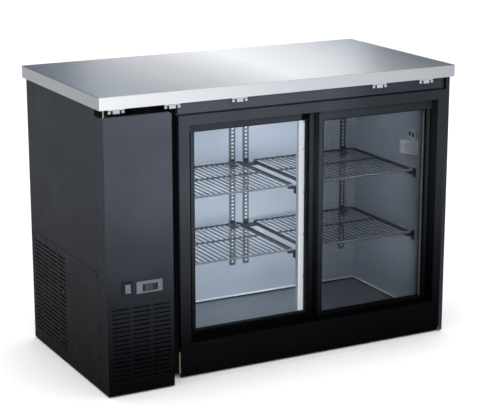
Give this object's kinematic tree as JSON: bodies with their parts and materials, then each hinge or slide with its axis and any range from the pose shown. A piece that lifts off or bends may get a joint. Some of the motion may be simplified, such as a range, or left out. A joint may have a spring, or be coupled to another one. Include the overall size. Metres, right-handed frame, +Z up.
{
  "type": "under counter fridge",
  "caption": "Under counter fridge with a steel worktop, black body, sliding double-glazed glass doors, wire shelves and a side machine section.",
  "frame": {"origin": "on the floor at the centre of the footprint", "axes": "+X to the right as the user faces the doors, +Y to the back, +Z up"},
  "size_m": [1.24, 0.666, 0.91],
  "materials": {
    "worktop_steel": "brushed",
    "zinc_steel": "satin",
    "black_coat": "satin powder coat",
    "back_steel": "galvanised, satin",
    "door_black": "satin",
    "rubber_black": "matt",
    "seal_rubber": "matt",
    "black_plastic": "matt",
    "bezel_plastic": "satin",
    "display_window": "gloss",
    "button_plastic": "satin",
    "rocker_plastic": "gloss",
    "liner_white": "satin",
    "evaporator_white": "satin",
    "foam": "matt foam",
    "strip_plastic": "satin",
    "pilaster_steel": "satin",
    "clip_plastic": "matt",
    "thermometer_plastic": "gloss",
    "fin_aluminium": "satin",
    "fan_plastic": "matt",
    "motor_black": "gloss",
    "copper": "satin",
    "door_glass": "clear",
    "roller_nylon": "satin",
    "shelf_wire": "plastic coated"
  },
  "bodies": {
    "cabinet": {"back_panel": "back_steel", "base_frame": "back_steel", "bottom_track": "door_black", "centre_post": "black_coat", "compressor": "motor_black", "compressor_mounts": "rubber_black", "condenser_coil": "fin_aluminium", "condenser_fan_shroud": "zinc_steel", "controller_bezel": "bezel_plastic", "controller_body": "black_plastic", "controller_window": "display_window", "cord_gland": "black_plastic", "door_bumpers": "rubber_black", "evaporator_coil": "fin_aluminium", "evaporator_cover": "evaporator_white", "fan_motors": "motor_black", "fascia": "black_coat", "floor_glides": "rubber_black", "front_cover": "black_coat", "inner_liner": "liner_white", "insulation": "foam", "kick_plate": "black_coat", "left_jamb": "door_black", "left_service_panel": "black_coat", "left_upper_panel": "black_coat", "light_strip": "strip_plastic", "mullion": "liner_white", "rear_grille": "back_steel", "refrigerant_pipes": "copper", "right_jamb": "door_black", "right_panel": "black_coat", "shelf_clips": "clip_plastic", "shelf_pilasters": "pilaster_steel", "switch_housing": "black_plastic", "thermometer": "thermometer_plastic", "top_track": "door_black", "worktop": "worktop_steel", "worktop_clips": "zinc_steel"},
    "left_door": {"left_door_stiles": "door_black", "left_door_rails": "door_black", "left_door_seals": "seal_rubber", "left_door_glass": "door_glass"},
    "right_door": {"right_door_stiles": "door_black", "right_door_rails": "door_black", "right_door_seals": "seal_rubber", "right_door_glass": "door_glass"},
    "left_door_roller_a": {"left_door_roller_a": "roller_nylon"},
    "left_door_roller_b": {"left_door_roller_b": "roller_nylon"},
    "right_door_roller_a": {"right_door_roller_a": "roller_nylon"},
    "right_door_roller_b": {"right_door_roller_b": "roller_nylon"},
    "switch_rocker": {"switch_rocker": "rocker_plastic"},
    "button_up": {"button_up": "button_plastic"},
    "button_down": {"button_down": "button_plastic"},
    "button_set": {"button_set": "button_plastic"},
    "condenser_fan": {"condenser_fan": "fan_plastic"},
    "evaporator_fan": {"evaporator_fan": "fan_plastic"},
    "left_lower_shelf": {"left_lower_shelf": "shelf_wire"},
    "left_upper_shelf": {"left_upper_shelf": "shelf_wire"},
    "right_lower_shelf": {"right_lower_shelf": "shelf_wire"},
    "right_upper_shelf": {"right_upper_shelf": "shelf_wire"}
  },
  "joints": [
    {"name": "left_door_slide", "type": "slide", "parent": "cabinet", "child": "left_door", "axis": [1, 0, 0], "range_m": [0, 0.42]},
    {"name": "right_door_slide", "type": "slide", "parent": "cabinet", "child": "right_door", "axis": [-1, 0, 0], "range_m": [0, 0.44]},
    {"name": "left_door_roller_a_spin", "type": "hinge", "parent": "left_door", "child": "left_door_roller_a", "pos_m": [-0.222, -0.1955, 0.1063], "axis": [0, 1, 0], "continuous": true},
    {"name": "left_door_roller_b_spin", "type": "hinge", "parent": "left_door", "child": "left_door_roller_b", "pos_m": [0.086, -0.1955, 0.1063], "axis": [0, 1, 0], "continuous": true},
    {"name": "right_door_roller_a_spin", "type": "hinge", "parent": "right_door", "child": "right_door_roller_a", "pos_m": [0.216, -0.2305, 0.1063], "axis": [0, -1, 0], "continuous": true},
    {"name": "right_door_roller_b_spin", "type": "hinge", "parent": "right_door", "child": "right_door_roller_b", "pos_m": [0.508, -0.2305, 0.1063], "axis": [0, -1, 0], "continuous": true},
    {"name": "switch_rock", "type": "hinge", "parent": "cabinet", "child": "switch_rocker", "pos_m": [-0.5505, -0.324, 0.334], "axis": [1, 0, 0], "range_deg": [0, 14]},
    {"name": "button_up_press", "type": "slide", "parent": "cabinet", "child": "button_up", "axis": [0, 1, 0], "range_m": [0, 0.0015], "stiffness_N_per_m": 400},
    {"name": "button_down_press", "type": "slide", "parent": "cabinet", "child": "button_down", "axis": [0, 1, 0], "range_m": [0, 0.0015], "stiffness_N_per_m": 400},
    {"name": "button_set_press", "type": "slide", "parent": "cabinet", "child": "button_set", "axis": [0, 1, 0], "range_m": [0, 0.0015], "stiffness_N_per_m": 400},
    {"name": "condenser_fan_spin", "type": "hinge", "parent": "cabinet", "child": "condenser_fan", "pos_m": [-0.505, -0.248, 0.16], "axis": [0, 1, 0], "continuous": true},
    {"name": "evaporator_fan_spin", "type": "hinge", "parent": "cabinet", "child": "evaporator_fan", "pos_m": [-0.252, 0, 0.702], "axis": [1, 0, 0], "continuous": true},
    {"name": "left_lower_shelf_lift", "type": "slide", "parent": "cabinet", "child": "left_lower_shelf", "axis": [0, 0, 1], "range_m": [0, 0.03]},
    {"name": "left_upper_shelf_lift", "type": "slide", "parent": "cabinet", "child": "left_upper_shelf", "axis": [0, 0, 1], "range_m": [0, 0.03]},
    {"name": "right_lower_shelf_lift", "type": "slide", "parent": "cabinet", "child": "right_lower_shelf", "axis": [0, 0, 1], "range_m": [0, 0.03]},
    {"name": "right_upper_shelf_lift", "type": "slide", "parent": "cabinet", "child": "right_upper_shelf", "axis": [0, 0, 1], "range_m": [0, 0.03]}
  ]
}
